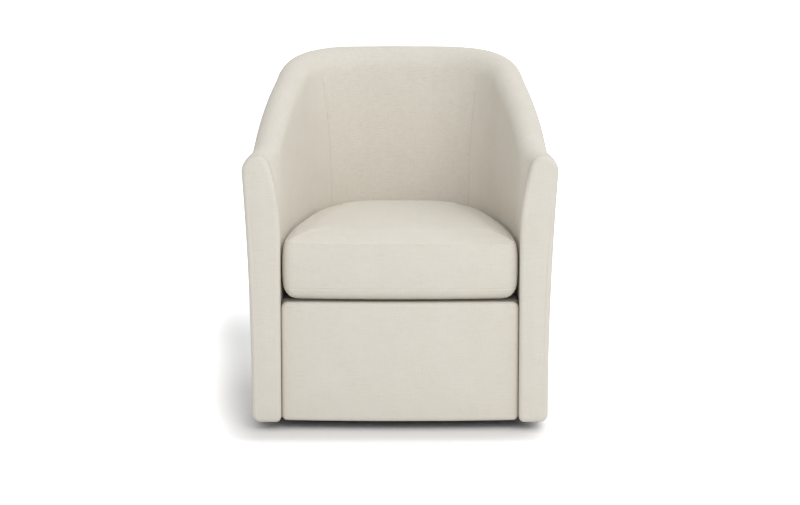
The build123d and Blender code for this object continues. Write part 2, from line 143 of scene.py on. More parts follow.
class Outline:
    """Half of a barrel outline: side, corner and back arcs, each tangent to the next."""

    def __init__(self, half_width, depth, side_r, corner_r, back_r):
        side_c = np.array([half_width - side_r, front_y])
        back_c = np.array([0.0, front_y + depth - back_r])
        reach_side = side_r - corner_r
        reach_back = back_r - corner_r
        between = back_c - side_c
        gap = np.hypot(*between)
        along = (reach_side**2 - reach_back**2 + gap**2) / (2 * gap)
        across = math.sqrt(reach_side**2 - along**2)
        unit = between / gap
        corner_c = side_c + unit * along + np.array([-unit[1], unit[0]]) * across
        turn_side = math.atan2(*(corner_c - side_c)[::-1])
        turn_back = math.atan2(*(corner_c - back_c)[::-1])
        self.centres = np.array([side_c, corner_c, back_c])
        self.radii = np.array([side_r, corner_r, back_r])
        self.starts = np.array([0.0, turn_side, turn_back])
        self.ends = np.array([turn_side, turn_back, math.pi / 2])
        lengths = self.radii * (self.ends - self.starts)
        self.passed = np.array([0.0, lengths[0], lengths[0] + lengths[1]])
        self.length = lengths.sum()

    def at(self, distance):
        """Points and outward directions at distances along the half outline from its front."""
        arc = np.searchsorted(self.passed[1:], distance)
        angle = self.starts[arc] + (distance - self.passed[arc]) / self.radii[arc]
        out = np.stack([np.cos(angle), np.sin(angle)], axis=-1)
        return self.centres[arc] + out * self.radii[arc][..., None], out

    def distance_in(self, point, out):
        """Distances from points outside, against the outward directions, to this outline."""
        found = np.full(point.shape[:-1], np.nan)
        for centre, radius, end in zip(self.centres, self.radii, self.ends):
            offset = point - centre
            along = (offset * out).sum(-1)
            inside = along**2 - (offset**2).sum(-1) + radius**2
            step = along - np.sqrt(np.maximum(inside, 0))
            hit = offset - out * step[..., None]
            angle = np.arctan2(hit[..., 1], hit[..., 0])
            good = np.isnan(found) & (inside >= 0) & (angle <= end + 1e-9)
            found = np.where(good, step, found)
        return found


_, _, arm_rim_out, _ = rim_of_wall(arm_flare, arm_flare_bow, arm_height)
_, _, back_rim_out, _ = rim_of_wall(back_rake, wall_bow, overall_height)
half_width = overall_width / 2 - arm_rim_out - rim_outer_radius
base_depth = overall_depth - back_rim_out - rim_outer_radius
seat_half = half_width - arm_width
outer = Outline(half_width, base_depth, side_radius, corner_radius, back_radius)
inner = Outline(
    seat_half, base_depth - back_width, inner_side_radius, inner_corner_radius, inner_back_radius
)


class Sections:
    """Upright sections of the wall at places along it; past the back's middle they are on the left."""

    def __init__(self, places):
        places = np.asarray(places, float)
        mirrored = places > outer.length
        distance = np.where(mirrored, 2 * outer.length - places, places)
        self.point, self.out = outer.at(distance)
        self.flip = np.where(mirrored, -1.0, 1.0)
        past_front = np.maximum(0, distance - front_pad_depth)
        fade = np.exp(-((past_front / flare_fade) ** 2))
        nearby = distance[..., None] + np.linspace(-rake_blend, rake_blend, rake_samples)
        rake = back_rake * outer.at(np.clip(nearby, 0, outer.length))[1][..., 1].mean(-1)
        self.flare = rake + (arm_flare - rake) * fade
        self.bow = wall_bow + (arm_flare_bow - wall_bow) * fade
        climb = np.minimum(1, past_front / (outer.length - front_pad_depth - crest_flat))
        share = np.sin(math.pi / 2 * climb**crest_power)
        self.crest = arm_height + (overall_height - arm_height) * share
        facing_back = self.out[..., 1]
        self.upright = arm_upright_height + (back_upright_height - arm_upright_height) * facing_back
        self.inside_out = -inner.distance_in(self.point, self.out)
        rim = rim_of_wall(self.flare, self.bow, self.crest)
        self.top_out, self.top_up, self.rim_out, self.rim_up = rim
        self.shoulder = rim_inner_radius + (rim_back_radius - rim_inner_radius) * facing_back
        rise = self.crest - self.upright - self.shoulder
        spread = self.rim_out - self.inside_out - self.shoulder
        self.lean = 2 * np.arctan(spread / rise)
        self.sweep = rise / np.sin(self.lean) + self.shoulder
        self.down = np.arctan2(self.top_up - self.rim_up, self.top_out - self.rim_out)

    def world(self, out, up):
        spot = self.point + self.out * out[..., None]
        return np.stack([self.flip * spot[..., 0], spot[..., 1], up], axis=-1)

    def inside_lengths(self, low):
        """Lengths of the upright, sweep, shoulder and rim stretches of the inside face."""
        quarter = math.pi / 2
        return (
            self.upright - low,
            self.sweep * self.lean,
            self.shoulder * (quarter - self.lean),
            rim_outer_radius * (quarter - self.down),
        )

    def inside_spot(self, share, low):
        """(out, up) at a share of the way up the inside face, over the rim and down to its seam."""
        straight, sweep, bend, rim = self.inside_lengths(low)
        along = share * (straight + sweep + bend + rim)
        turn = np.clip((along - straight) / self.sweep, 0, self.lean)
        out = self.inside_out + self.sweep * (1 - np.cos(turn))
        up = low + np.minimum(along, straight) + self.sweep * np.sin(turn)
        past = along - straight - sweep
        angle = math.pi - self.lean - past / self.shoulder
        on_shoulder = past > 0
        out = np.where(on_shoulder, self.rim_out + self.shoulder * np.cos(angle), out)
        up = np.where(on_shoulder, self.crest - self.shoulder * (1 - np.sin(angle)), up)
        past = past - bend
        angle = math.pi / 2 - past / rim_outer_radius
        on_rim = past > 0
        out = np.where(on_rim, self.rim_out + rim_outer_radius * np.cos(angle), out)
        up = np.where(on_rim, self.rim_up + rim_outer_radius * np.sin(angle), up)
        return out, up

    def outside_spot(self, share):
        """(out, up) at a share of the way down the outside face, which is a little hollow."""
        up = self.top_up + (floor_gap - self.top_up) * share
        out = self.flare * (up - floor_gap) - 4 * self.bow * share * (1 - share)
        return out, up


def inside_face(places, share):
    sections = Sections(places)
    return sections.world(*sections.inside_spot(share, pad_bottom))


def outside_face(places, share):
    sections = Sections(places)
    return sections.world(*sections.outside_spot(share))


def seam_places(face, shares):
    """Places along the right half of a face where it crosses the bowed seam, one for each share."""
    lean = cover_seam_high[0] - cover_seam_low[0]
    climb = cover_seam_high[1] - cover_seam_low[1]
    near = np.full(len(shares), outer.passed[1])
    far = np.full(len(shares), outer.length)
    for _ in range(seam_search_steps):
        middle = (near + far) / 2
        spot = face(middle, shares)
        up = (spot[:, 2] - cover_seam_low[1]) / climb
        bow = 4 * cover_seam_bow * np.clip(up * (1 - up), 0, 1)
        beyond = spot[:, 0] < cover_seam_low[0] + lean * up - bow
        far = np.where(beyond, middle, far)
        near = np.where(beyond, near, middle)
    return (near + far) / 2


def spaced(start, end, count):
    """Values from start to end, close together near both ends; either may be an array."""
    start = np.asarray(start, float)[..., None]
    end = np.asarray(end, float)[..., None]
    first = start + edge_steps
    last = end - edge_steps[::-1]
    shares = np.linspace(0, 1, count)[1:-1]
    middle = first[..., -1:] + (last[..., :1] - first[..., -1:]) * shares
    return np.concatenate([first, middle, last], axis=-1)


def rounding(distance, radius):
    """How far a rounded edge falls away at a distance from it."""
    left = np.clip(radius - distance, 0, radius)
    return radius - np.sqrt(radius**2 - left**2)


def smooth(share):
    """Eases a share from 0 to 1, and holds it there."""
    share = np.clip(share, 0, 1)
    return share * share * (3 - 2 * share)


def normals_of(points):
    """Unit normals of a grid, across its rows and then its columns."""
    across = np.cross(np.gradient(points, axis=0), np.gradient(points, axis=1))
    return across / np.linalg.norm(across, axis=-1, keepdims=True)


def waviness(weave):
    """Slight unevenness of stretched cloth, up to half a millimetre."""
    u, v = weave[..., 0], weave[..., 1]
    wave = np.sin(23 * u + 9 * v) * np.sin(31 * v - 7 * u) + 0.6 * np.sin(53 * u - 37 * v + 1)
    return wave_height * wave


def shell_patches(front, back, weave):
    """Front and back grids and the four strips that close them."""
    patches = [(front, weave), (back, weave)]
    for side in (np.s_[0], np.s_[-1], np.s_[:, 0], np.s_[:, -1]):
        strip = np.stack([front[side], back[side]])
        patches.append((strip, np.stack([weave[side], weave[side]])))
    return patches


def joined(name, patches, material):
    """Joins grids that meet at their borders into one closed mesh."""
    mesh = bmesh.new()
    layer = mesh.loops.layers.uv.new("Weave")
    for points, weave in patches:
        rows, columns = points.shape[:2]
        spots = [mesh.verts.new(spot) for spot in points.reshape(-1, 3)]
        flat = weave.reshape(-1, 2)
        for row in range(rows - 1):
            for column in range(columns - 1):
                first = row * columns + column
                corners = (first, first + columns, first + columns + 1, first + 1)
                face = mesh.faces.new([spots[corner] for corner in corners])
                face.smooth = True
                for loop, corner in zip(face.loops, corners):
                    loop[layer].uv = flat[corner]
    bmesh.ops.remove_doubles(mesh, verts=mesh.verts, dist=weld_distance)
    bmesh.ops.dissolve_degenerate(mesh, edges=mesh.edges, dist=least_edge)
    bmesh.ops.recalc_face_normals(mesh, faces=mesh.faces)
    data = bpy.data.meshes.new(name)
    mesh.to_mesh(data)
    mesh.free()
    data.materials.append(material)
    made = bpy.data.objects.new(name, data)
    bpy.context.scene.collection.objects.link(made)
    return made


def stand_in(piece, nodes, body="chair", fill=None):
    """Makes a piece stand for CAD nodes on their body."""
    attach(piece, body)
    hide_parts(*nodes)


class Nodes:
    """Short way to add shader nodes: inputs are values or other nodes' sockets."""

    def __init__(self, name, **sockets):
        self.material = bpy.data.materials.new(name)
        self.material.use_nodes = True
        self.tree = self.material.node_tree
        self.surface = self.tree.nodes["Principled BSDF"]
        for socket, value in sockets.items():
            self.surface.inputs[socket.replace("_", " ").title()].default_value = value

    @classmethod
    def of_tree(cls, tree):
        """Adds to a tree that isn't a surface's."""
        made = cls.__new__(cls)
        made.tree = tree
        return made

    def add(self, kind, inputs=(), **settings):
        made = self.tree.nodes.new("ShaderNode" + kind)
        for setting, value in settings.items():
            setattr(made, setting, value)
        for socket, value in dict(inputs).items():
            if isinstance(value, bpy.types.NodeSocket):
                self.tree.links.new(value, made.inputs[socket])
            else:
                made.inputs[socket].default_value = value
        return made.outputs

    def place(self):
        """Place in metres in the object's own space."""
        return self.add("TexCoord")["Object"]

    def math(self, operation, first, second=0.0):
        return self.add("Math", {0: first, 1: second}, operation=operation)[0]

    def blend(self, *parts):
        """Sum of (value, weight) parts."""
        weighted = [self.math("MULTIPLY", value, weight) for value, weight in parts]
        total = weighted[0]
        for part in weighted[1:]:
            total = self.math("ADD", total, part)
        return total

    def noise(self, place, stretch, detail=2.0):
        """Noise in a stretched space; stretch is in waves to the metre along each axis."""
        mapped = self.add("Mapping", {"Vector": place, "Scale": stretch})[0]
        return self.add("TexNoise", {"Vector": mapped, "Scale": 1.0, "Detail": detail})["Fac"]

    def ramp(self, value, *stops):
        """Colour ramp through (position, colour) stops."""
        made = self.tree.nodes.new("ShaderNodeValToRGB")
        self.tree.links.new(value, made.inputs[0])
        elements = made.color_ramp.elements
        for index, (position, colour) in enumerate(stops):
            element = elements[index] if index < 2 else elements.new(position)
            element.position = position
            element.color = (*colour, 1)
        return made.outputs["Color"]

    def span(self, value, low, high, to_low=0.0, to_high=1.0):
        limits = {"From Min": low, "From Max": high, "To Min": to_low, "To Max": to_high}
        return self.add("MapRange", {"Value": value, **limits})[0]

    def mix(self, share, first, second, blend="MIX"):
        inputs = {"Factor": share, 6: first, 7: second}
        return self.add("Mix", inputs, data_type="RGBA", blend_type=blend)[2]

    def colour(self, value):
        self.tree.links.new(value, self.surface.inputs["Base Color"])

    def roughness(self, value):
        self.tree.links.new(value, self.surface.inputs["Roughness"])

    def bump(self, height, distance, strength=1.0):
        made = self.add("Bump", {"Height": height, "Distance": distance, "Strength": strength})
        self.tree.links.new(made[0], self.surface.inputs["Normal"])


# Cloth: waves to the metre along and across a slub and in the mottling, the noise levels between which
# a slub comes out, and the height of the threads
slub_along, slub_across = 32, 420
mottle_waves = 14
weft_slub_levels = (0.56, 0.74)
warp_slub_levels = (0.58, 0.76)
slub_shade = 0.9
thread_relief = 0.0003


def woven(name, dark, light, pitch, slub_contrast, evenness=0.18, mottling=0.35):
    """Plain weave with slubs along both threads, laid out in metres on the Weave map."""
    nodes = Nodes(name, roughness=0.9)
    nodes.surface.inputs["Sheen Weight"].default_value = 0.12
    nodes.surface.inputs["Sheen Roughness"].default_value = 0.5
    nodes.surface.inputs["Specular IOR Level"].default_value = 0.2
    place = nodes.add("UVMap", uv_map="Weave")[0]
    split = nodes.add("SeparateXYZ", {0: place})
    turns = 2 * math.pi / pitch
    warp = nodes.math("SINE", nodes.math("MULTIPLY", split[0], turns))
    weft = nodes.math("SINE", nodes.math("MULTIPLY", split[1], turns))
    threads = nodes.math("MULTIPLY", warp, weft)
    weft_slub = nodes.noise(place, (slub_along, slub_across, 1), 3.0)
    warp_slub = nodes.noise(place, (slub_across, slub_along, 1), 3.0)
    thick_weft = nodes.span(weft_slub, *weft_slub_levels)
    thick_warp = nodes.span(warp_slub, *warp_slub_levels)
    mottle = nodes.noise(place, (mottle_waves, mottle_waves, 1), 4.0)
    tone = nodes.blend((weft_slub, 0.5), (warp_slub, 0.3), (mottle, mottling), (threads, 0.06))
    usual = 0.39 + mottling / 2
    cloth = nodes.ramp(tone, (usual - evenness, dark), (usual + evenness, light))
    slubs = nodes.math("MAXIMUM", thick_weft, thick_warp)
    shade = tuple(slub_shade * part for part in dark)
    nodes.colour(nodes.mix(nodes.math("MULTIPLY", slubs, slub_contrast), cloth, (*shade, 1)))
    nodes.roughness(nodes.span(tone, usual - 0.25, usual + 0.25, 0.95, 0.82))
    nodes.bump(nodes.blend((threads, 0.5), (slubs, 0.6)), thread_relief, 0.5)
    return nodes.material


linen_tones = (0.66, 0.622, 0.545), (0.735, 0.7, 0.63)
linen_pitch = 0.0011
# The deck is real cloth, but its dark tone is painted shade: it darkens the gaps between the cushion,
# the arms and the apron, where shade falls
deck_tones_painted_shade = (0.17, 0.158, 0.138), (0.235, 0.22, 0.195)
deck_pitch = 0.0008
linen = woven("linen", *linen_tones, linen_pitch, 0.45, evenness=0.14, mottling=0.18)
slubby_linen = woven("slubby_linen", *linen_tones, linen_pitch, 0.85, evenness=0.06, mottling=0.08)
deck_cloth = woven("deck_cloth", *deck_tones_painted_shade, deck_pitch, 0.1)

# Frame: waves to the metre in each finish, and the pitches of plies and strap ribs in metres
broad_waves = 35
fine_waves = 900
grain_across, grain_along = 130.0, 7.0
wood_waves = 9
lint_waves = 260
ply_pair = 0.003
rib_pitch = 0.0026


def mottled(name, dark, light, roughness, depth, metallic=0.0):
    """Even finish of metal, plastic or pressed fibres with slight mottling and fine relief."""
    nodes = Nodes(name, metallic=metallic)
    broad = nodes.noise(nodes.place(), [broad_waves] * 3, 4.0)
    fine = nodes.noise(nodes.place(), [fine_waves] * 3, 2.0)
    tone = nodes.blend((broad, 0.7), (fine, 0.3))
    nodes.colour(nodes.ramp(tone, (0.32, dark), (0.68, light)))
    nodes.roughness(nodes.span(tone, 0.3, 0.7, *roughness))
    nodes.bump(fine, depth, 0.5)
    return nodes.material


def wood(name, dark, light, along, plies=False):
    """Wood with its grain along an axis; plywood also shows its plies on upright faces."""
    nodes = Nodes(name)
    stretch = [grain_across] * 3
    stretch[along] = grain_along
    grain = nodes.noise(nodes.place(), stretch, 5.0)
    broad = nodes.noise(nodes.place(), [wood_waves] * 3, 2.0)
    tone = nodes.blend((grain, 0.7), (broad, 0.3))
    colour = nodes.ramp(tone, (0.33, dark), (0.67, light))
    if plies:
        up = nodes.add("SeparateXYZ", {0: nodes.place()})[2]
        facing = nodes.add("SeparateXYZ", {0: nodes.add("NewGeometry")["Normal"]})[2]
        layer = nodes.math("SINE", nodes.math("MULTIPLY", up, 2 * math.pi / ply_pair))
        shown = nodes.span(nodes.math("ABSOLUTE", facing), 0.3, 0.7, 0.55, 0.0)
        dark_ply = nodes.math("MULTIPLY", nodes.span(layer, -0.2, 0.2), shown)
        colour = nodes.mix(dark_ply, colour, (*dark, 1))
    nodes.colour(colour)
    nodes.roughness(nodes.span(tone, 0.3, 0.7, 0.72, 0.55))
    nodes.bump(grain, 0.0004, 0.35)
    return nodes.material


def webbing_cloth():
    """Ribbed elastic strap."""
    nodes = Nodes("webbing")
    split = nodes.add("SeparateXYZ", {0: nodes.place()})
    turns = 2 * math.pi / rib_pitch
    ribs = [nodes.math("SINE", nodes.math("MULTIPLY", split[axis], turns)) for axis in (0, 1)]
    ribs = nodes.math("MULTIPLY", *ribs)
    lint = nodes.noise(nodes.place(), [lint_waves] * 3, 3.0)
    tone = nodes.blend((ribs, 0.2), (lint, 1.0))
    dark, light = webbing_tones
    nodes.colour(nodes.ramp(tone, (0.25, dark), (0.75, light)))
    nodes.roughness(nodes.span(tone, 0.2, 0.8, 0.95, 0.8))
    nodes.bump(ribs, 0.0005, 0.6)
    return nodes.material


birch = ((0.42, 0.29, 0.165), (0.61, 0.46, 0.29))
beech = ((0.36, 0.215, 0.115), (0.52, 0.345, 0.2))
webbing_tones = ((0.03, 0.027, 0.024), (0.085, 0.077, 0.068))
dust_cloth = mottled("dust_cloth", (0.009, 0.009, 0.01), (0.03, 0.03, 0.032), (0.98, 0.86), 0.0004)
# Dark and light tone, roughness from one to the other, relief in metres, and 1 for bare metal
even_finishes = {
    "black_steel": ((0.009, 0.009, 0.01), (0.019, 0.019, 0.02), (0.4, 0.58), 0.0002),
    "zinc_steel": ((0.47, 0.47, 0.45), (0.66, 0.66, 0.63), (0.26, 0.45), 0.00006, 1.0),
    "ball_steel": ((0.6, 0.6, 0.6), (0.72, 0.72, 0.71), (0.08, 0.2), 0.00002, 1.0),
    "nylon": ((0.66, 0.64, 0.57), (0.77, 0.75, 0.68), (0.38, 0.55), 0.0001),
    "glide_plastic": ((0.016, 0.016, 0.017), (0.034, 0.034, 0.035), (0.45, 0.65), 0.0002),
}
finishes = {name: mottled(name, *looks) for name, looks in even_finishes.items()}
finishes["webbing"] = webbing_cloth()
for axis in range(3):
    finishes["plywood", axis] = wood("plywood_" + "xyz"[axis], *birch, axis, plies=True)
    finishes["hardwood", axis] = wood("hardwood_" + "xyz"[axis], *beech, axis)


def dress_frame():
    """Gives CAD nodes of wood, metal, plastic or webbing their finish, with grain along the length."""
    for subpart in frame["record"]["subparts"]:
        low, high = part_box(subpart["node"])
        size = high - low
        longest = max(range(3), key=lambda axis: size[axis])
        slot = subpart["material_slot"]
        finish = finishes.get(slot) or finishes.get((slot, longest))
        if finish:
            for place in frame["nodes"][subpart["node"]].material_slots:
                place.material = finish


dress_frame()

# Wall: inside pads with the rolled rim, and outside covers, cut at the two leaning seams
pad_clearance = 0.0003
pad_back = front_y + front_pad_depth - pad_clearance
wall_start = front_pad_depth + pad_clearance + arm_width * front_pad_depth / side_radius
inside_rows = 84
outside_rows = 72
wing_columns = 78
back_columns = 50
arm_foot_outer = 0.02
foot_fade = 0.11
wave_margin = 0.03
least_opening = 0.05


def seam_opening(face, spots):
    """1 where an upright seam shows; the inside ones close up before they reach the rim."""
    if face is outside_face:
        return np.ones(spots.shape[:-1])
    low, high = seam_fade
    return 1 - smooth((spots[..., 2] - low) / (high - low))


def hem_turn(places, above_hem):
    """How far the outside hem turns under, which it does most beside the rounded feet of the arms."""
    from_arm = np.minimum(places, 2 * outer.length - places) - wall_start
    radius = arm_foot_outer + (seam_radius - arm_foot_outer) * smooth(from_arm / foot_fade)
    return rounding(above_hem, radius)


def wall_piece(name, face, shares, length, starts, ends, end_radii, columns, thickness, fill):
    """One panel of the wall between two places on each row, its edges rounded into the seams."""
    places = spaced(starts, ends, columns)
    share_grid = np.broadcast_to(shares[:, None], places.shape)
    base = face(places, share_grid)
    weave = np.stack([places, share_grid * length], axis=-1)
    normal = normals_of(base)
    open_part = seam_opening(face, base)
    start_edge = rounding(places - places[:, :1], end_radii[0]) * open_part
    end_edge = rounding(places[:, -1:] - places, end_radii[1]) * open_part
    seam = (1 - share_grid) if face is inside_face else share_grid
    seam_edge = rounding(seam * length, seam_radius)
    hem = np.zeros(places.shape)
    if face is outside_face:
        hem = hem_turn(places, (1 - share_grid) * length)
    fall = np.maximum(np.maximum(start_edge, end_edge), np.maximum(seam_edge, hem))
    from_ends = np.minimum(places - places[:, :1], places[:, -1:] - places)
    loose = np.minimum(1, from_ends / wave_margin) * np.minimum(1, seam * length / wave_margin)
    front = base - normal * fall[..., None] + normal * (waviness(weave) * loose)[..., None]
    back = base - normal * (thickness + hem)[..., None]
    cloth = slubby_linen if name == "inside_back" else linen
    panel = joined(name + "_panel", shell_patches(front, back, weave), cloth)
    stand_in(panel, [name], fill=fill)


def wall_panels(kind, face, length, rows, thickness, fill):
    """Right wing, back and left wing; each panel runs from one place to another on every row."""
    shares = spaced(0.0, length, rows) / length
    seams = seam_places(face, shares)
    half = seam_gap / 2 * np.maximum(least_opening, seam_opening(face, face(seams, shares)))
    arm_end = np.full(len(shares), wall_start)
    round_trip = 2 * outer.length
    right = (arm_end, seams - half, (flush_radius, seam_radius), wing_columns)
    back = (seams + half, round_trip - seams - half, (seam_radius, seam_radius), back_columns)
    left = (round_trip - seams + half, round_trip - arm_end, (seam_radius, flush_radius), wing_columns)
    for part, edges in (("_wing_right", right), ("_back", back), ("_wing_left", left)):
        wall_piece(kind + part, face, shares, length, *edges, thickness, fill)


back_lengths = Sections(np.array([outer.length])).inside_lengths(pad_bottom)
inside_length = float(sum(back_lengths)[0])
wall_panels("inside", inside_face, inside_length, inside_rows, pad_shell, 0.7)
wall_panels("outside", outside_face, overall_height - floor_gap, outside_rows, cover_shell, 0.3)


# Arm fronts and apron: pads with a rounded edge, filled by rungs between two sides
def distance_to(points, chain):
    """Least distance from each (x, z) point of a grid to a chain of points."""
    best = np.full(points.shape[:-1], np.inf)
    for first, last in zip(chain[:-1], chain[1:]):
        run = last - first
        share = np.clip(((points - first) @ run) / (run @ run), 0, 1)
        best = np.minimum(best, np.linalg.norm(points - first - share[..., None] * run, axis=-1))
    return best


def corner(centre, radius, start, end, count=9):
    """Points on a round corner in the (x, z) plane, between two angles in quarter turns."""
    angle = np.linspace(start, end, count) * math.pi / 2
    return np.stack([centre[0] + radius * np.cos(angle), centre[1] + radius * np.sin(angle)], axis=-1)


def passed_along(chain):
    """Distance along a chain to each of its points."""
    steps = np.linalg.norm(np.diff(chain, axis=0), axis=1)
    return np.concatenate([[0], np.cumsum(steps)])


def looped(points):
    """A ring of points with the first one again at its end."""
    return np.concatenate([points, points[:1]])


def at_height(plan, height):
    """A grid of (x, y) points at one height or at a height for each."""
    height = np.broadcast_to(height, plan.shape[:-1])
    return np.concatenate([plan, height[..., None]], axis=-1)


def resample(chain, distances):
    """Points at distances along a chain."""
    passed = passed_along(chain)
    return np.stack([np.interp(distances, passed, chain[:, axis]) for axis in (0, 1)], axis=-1)


def chain_length(chain):
    return np.linalg.norm(np.diff(chain, axis=0), axis=1).sum()


def front_pad(name, left, right, depth, columns, side_rings=5):
    """Pad filled between two sides; depth gives its front's y for (x, z) and distances to its edge."""
    rungs = columns[None, :, None]
    plan = left[:, None] + (right - left)[:, None] * rungs
    closed = looped(np.concatenate([left, right[::-1]]))
    front = np.stack([plan[..., 0], depth(plan, distance_to(plan, closed)), plan[..., 1]], axis=-1)
    back = front.copy()
    back[..., 1] = pad_back
    weave = plan.copy()
    patches = [(front, weave), (back, weave)]
    shares = np.linspace(0, 1, side_rings)[:, None, None]
    for side in (np.s_[0], np.s_[-1], np.s_[:, 0], np.s_[:, -1]):
        strip = front[side] + (back[side] - front[side]) * shares
        along = passed_along(plan[side])
        strip_weave = np.stack(np.broadcast_arrays(strip[..., 1], along), axis=-1)
        patches.append((strip, strip_weave))
    stand_in(joined(name + "_pad", patches, linen), [name], fill=0.6)


arm_edge_radius = 0.0095
arm_foot_inner = 0.012
arm_crown = 0.003
arm_crown_power = 0.7
arm_crest_gap = 0.0015
arm_samples = 400
arm_rows = 120
arm_seam_inset = 0.012
arm_seam_depth = 0.0012
arm_seam_width = 0.0011
arm_seam_top = (0.5, 0.59)
apron_setback = 0.024
apron_bow = 0.012
apron_edge_radius = 0.0075
apron_foot_radius = 0.0125
apron_head_radius = 0.015
apron_side_gap = 0.001
apron_top_drop = 0.0025
apron_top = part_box("front_apron")[1].z - apron_top_drop
apron_swell = 0.002
apron_swell_reach = 0.03
apron_rows = 60
# Columns across a pad, as distances from its sides; an arm's are for its greatest width
edge_columns = np.array([0, 0.0003, 0.001, 0.002, 0.0034, 0.0052, 0.0075])
arm_greatest_width = 0.085
arm_columns = np.append(edge_columns, 0.0096)
arm_middle_columns = np.linspace(0.0125, arm_greatest_width - 0.019, 9)
arm_seam_columns = np.array([-1.4, -0.8, -0.35, 0, 0.35, 0.8, 1.4]) * arm_seam_width
apron_columns = np.append(edge_columns, 0.0105)
apron_middle_inset = 0.02
apron_middle_count = 60
join_step = 1e-4


def arm_outline():
    """Inner and outer sides of the right arm's front, from the foot to the crest, as (x, z)."""
    share = np.linspace(0, 1, arm_samples)
    wide = Sections(np.zeros(arm_samples))
    out, up = wide.inside_spot(share, floor_gap)
    x = wide.point[:, 0] + out
    crest = np.argmax(up)
    inside = np.stack([x[: crest + 1], up[: crest + 1]], axis=-1)
    over = np.stack([x[crest:], up[crest:]], axis=-1)[::-1]
    out, up = wide.outside_spot(1 - share)
    flank = np.stack([wide.point[:, 0] + out, up], axis=-1)
    outside = np.concatenate([flank, over[1:]])
    low = floor_gap + arm_foot_inner
    foot = corner((inside[0, 0] + arm_foot_inner, low), arm_foot_inner, 3, 2)
    inside = np.concatenate([foot, inside[inside[:, 1] > low + join_step]])
    low = floor_gap + arm_foot_outer
    foot = corner((outside[0, 0] - arm_foot_outer, low), arm_foot_outer, -1, 0)
    outside = np.concatenate([foot, outside[outside[:, 1] > low + join_step]])
    return inside, outside


def arm_front(name, side):
    inside, outside = arm_outline()
    inner_places = spaced(0, chain_length(inside) - arm_crest_gap, arm_rows)
    outer_places = inner_places * (chain_length(outside) - arm_crest_gap) / inner_places[-1]
    left = resample(inside, inner_places)
    right = resample(outside, outer_places)
    from_outer = np.concatenate([arm_seam_inset + arm_seam_columns, arm_columns])
    columns = np.concatenate([arm_columns, arm_middle_columns, arm_greatest_width - from_outer])
    columns = np.sort(columns) / arm_greatest_width

    def depth(plan, edge):
        fall = rounding(edge, arm_edge_radius)
        crown = arm_crown * np.clip(edge / (arm_width / 2), 0, 1) ** arm_crown_power
        from_seam = distance_to(plan, outside) - arm_seam_inset
        fade = np.clip((arm_seam_top[1] - plan[..., 1]) / (arm_seam_top[1] - arm_seam_top[0]), 0, 1)
        groove = arm_seam_depth * fade * np.exp(-((from_seam / arm_seam_width) ** 2))
        return front_y + arm_crown + fall - crown + groove

    if side < 0:
        left, right = right * (-1, 1), left * (-1, 1)
        columns = 1 - columns[::-1]
        outside = outside * (-1, 1)
    front_pad(name, left, right, depth, columns)


arm_front("arm_front_right", 1)
arm_front("arm_front_left", -1)


def front_apron():
    half = seat_half - apron_side_gap
    low = (half - apron_foot_radius, floor_gap + apron_foot_radius)
    high = (half - apron_head_radius, apron_top - apron_head_radius)
    foot = corner(low, apron_foot_radius, -1, 0)
    head = corner(high, apron_head_radius, 0, 1)
    side = np.concatenate([foot, head])
    right = resample(side, spaced(0, chain_length(side), apron_rows))
    left = right * (-1, 1)
    width = 2 * half
    middle = np.linspace(apron_middle_inset, width - apron_middle_inset, apron_middle_count)
    columns = np.concatenate([apron_columns, middle, width - apron_columns[::-1]]) / width

    def depth(plan, edge):
        bow = apron_bow * (1 - (plan[..., 0] / half) ** 2)
        swell = apron_swell * (1 - np.exp(-edge / apron_swell_reach))
        return front_y + apron_setback - bow + rounding(edge, apron_edge_radius) - swell + apron_swell

    front_pad("front_apron", left, right, depth, columns)


front_apron()

# Loose cushion: bottom panel, bulging band and crowned top panel, sewn at two seams
cushion_low, cushion_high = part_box("cushion_cover")
cushion_gap = 0.003
cushion_setback = 0.018
cushion_front_bow = 0.013
cushion_corner = 0.026
cushion_seam_low = 0.03
cushion_seam_high = 0.134
cushion_belly_inset = 0.042
cushion_belly_height = 0.048
cushion_shoulder_inset = 0.0055
cushion_crown_scale = 0.0374
cushion_crown_power = 0.744
cushion_crown_reach = 0.15
cushion_rim = 0.06
cushion_groove = 0.0012
cushion_groove_width = 0.0013
cushion_groove_steps = np.array([0.35, 0.8, 1.4, 2.2, 3.4]) * 0.001
cushion_columns = 66
cushion_depth_rows = 72
belly_rows = 12
band_rows = 20
crown_rings = 13
crown_samples = 400
near_limit = 0.015
touch = 1e-5
# Points on a D-shaped outline: the side, the front, each of them cut short, and the bend between
side_samples, front_samples = 900, 500
before_samples, after_samples, bend_samples = 300, 700, 22


def d_outline(outline, gap, setback, bow, fillet):
    """Right half of a D-shaped outline as (x, y) points from the front's middle to the back's."""
    side_r = outline.radii[0]
    start = math.asin(setback / (side_r - gap))
    places = np.linspace(side_r * start, outline.length, side_samples)
    point, out = outline.at(places)
    side = point - out * gap
    end = side[0]
    radius = (end[0] ** 2 + bow**2) / (2 * bow)
    x = np.linspace(0, end[0], front_samples)
    front = np.stack([x, front_y + setback - bow + radius - np.sqrt(radius**2 - x**2)], axis=-1)
    before = resample(front, np.linspace(0, chain_length(front) - fillet, before_samples))
    after = resample(side, np.linspace(fillet, chain_length(side), after_samples))
    t = np.linspace(0, 1, bend_samples)[1:-1, None]
    bend = (1 - t) ** 2 * before[-1] + 2 * t * (1 - t) * end + t**2 * after[0]
    return np.concatenate([before, bend, after])


def ring_marks(half, columns, rows):
    """Distances along a right half outline: columns on the front and back, rows on the side."""
    total = chain_length(half)
    passed = passed_along(half)
    front_corner = passed[np.argmax(half[:, 0] - half[:, 1])]
    rear_corner = passed[np.argmax(half[:, 0] + half[:, 1])]
    return np.concatenate(
        [
            np.linspace(0, front_corner, columns // 2 + 1),
            np.linspace(front_corner, rear_corner, rows + 1)[1:],
            np.linspace(rear_corner, total, columns // 2 + 1)[1:],
        ]
    )


